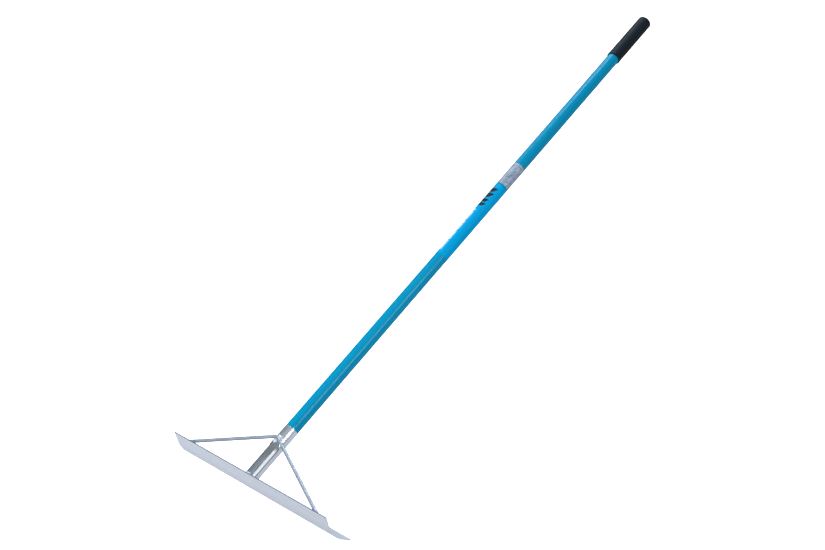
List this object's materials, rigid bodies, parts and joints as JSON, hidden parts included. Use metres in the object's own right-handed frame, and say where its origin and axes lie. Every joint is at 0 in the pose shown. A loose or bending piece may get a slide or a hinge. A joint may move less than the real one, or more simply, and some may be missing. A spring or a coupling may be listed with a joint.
{
  "type": "concrete placer",
  "caption": "Long-handled concrete placer: wide curved steel blade, scooped socket, bent-rod brace, straight coated tube handle with printed sleeve, foil band and soft closed grip.",
  "frame": {"origin": "where the handle's centre line meets the front face of the blade", "axes": "+Y up the handle along its centre line towards the grip, +X along the blade, +Z towards the blade's top edge; the concave back of the blade faces +Y"},
  "size_m": [0.5, 1.6137, 0.1141],
  "materials": {
    "blade_steel": "zinc-plated sheet steel, satin",
    "socket_steel": "zinc-plated tube, satin",
    "brace_steel": "zinc-plated round bar",
    "weld_steel": "plated weld bead, rippled",
    "blue_paint": "glossy blue coating over a metal tube",
    "rivet_aluminium": "plain",
    "label_print": null,
    "foil": "crumpled silver foil",
    "plug_plastic": "black plastic",
    "grip_rubber": "soft matte dark grey"
  },
  "bodies": {
    "root": {"blade": "blade_steel", "socket": "socket_steel", "brace_rod": "brace_steel", "socket_weld": "weld_steel", "brace_foot_welds": "weld_steel", "apex_welds": "weld_steel", "handle_tube": "blue_paint", "socket_rivet": "rivet_aluminium", "label_sleeve": "label_print", "foil_band": "foil", "end_plug": "plug_plastic", "grip": "grip_rubber"}
  },
  "joints": []
}
